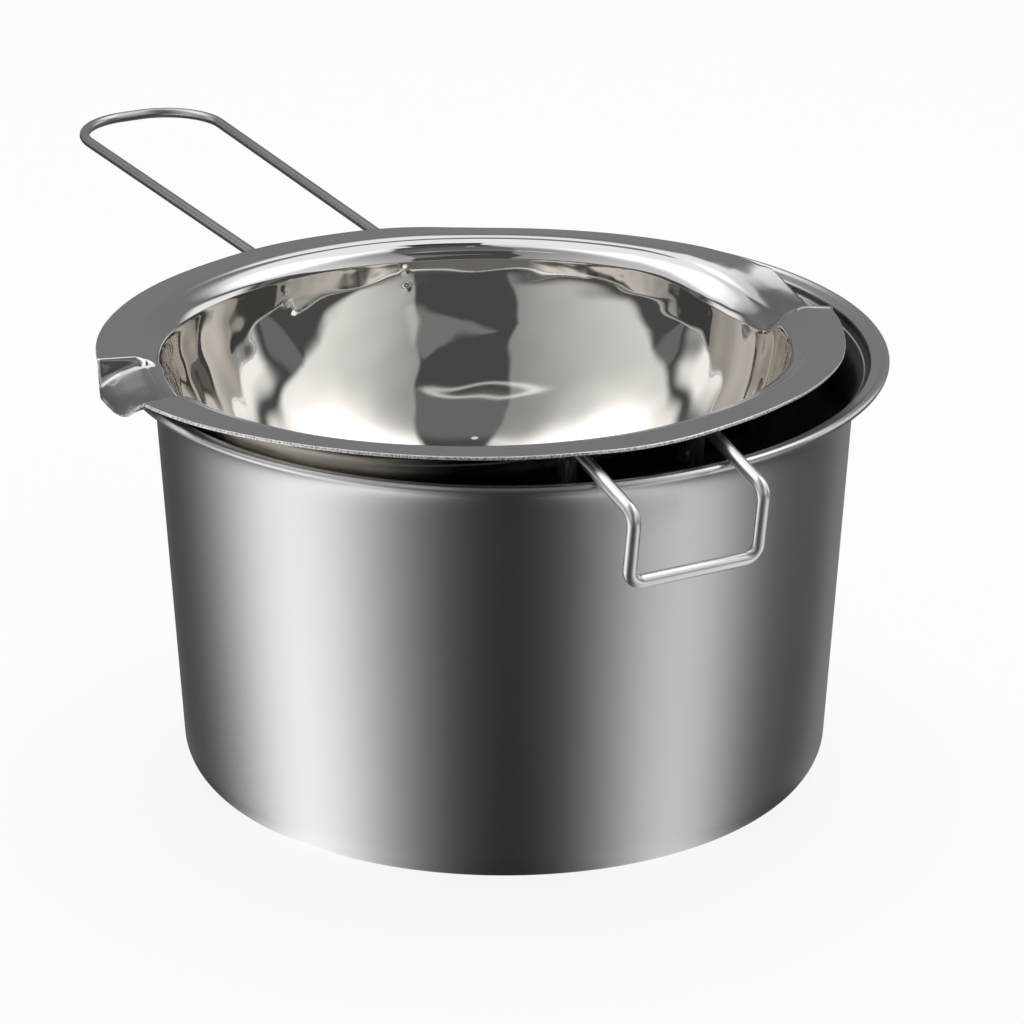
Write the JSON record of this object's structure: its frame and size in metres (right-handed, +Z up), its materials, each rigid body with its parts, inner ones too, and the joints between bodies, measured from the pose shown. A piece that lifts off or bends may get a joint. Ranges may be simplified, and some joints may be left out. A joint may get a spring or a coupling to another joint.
{
  "type": "double boiler melting pot",
  "caption": "Deep stainless steel pot with a polished melting bowl resting in its rim; the bowl has pouring spouts, a long wire handle and a wire rim hook, and lifts out.",
  "frame": {"origin": "middle of the pot's flat base, on the table", "axes": "+Z up along the pot's axis, +Y along the bowl's long handle, -Y towards the rim hook, X along the two pouring spouts"},
  "size_m": [0.289, 0.4784, 0.1726],
  "materials": {
    "pot_steel": "smooth satin stainless steel sheet",
    "bowl_steel": "mirror polished stainless steel sheet",
    "wire_steel": "bright drawn stainless steel wire",
    "weld_steel": "dull heat-tinted spot weld"
  },
  "bodies": {
    "pot": {"pot_shell": "pot_steel"},
    "bowl": {"bowl_shell": "bowl_steel", "long_handle": "wire_steel", "handle_welds": "weld_steel", "rim_hook": "wire_steel", "hook_welds": "weld_steel"}
  },
  "joints": [
    {"name": "bowl_lift", "type": "slide", "parent": "pot", "child": "bowl", "axis": [0, 0, 1], "range_m": [0, 0.12]}
  ]
}
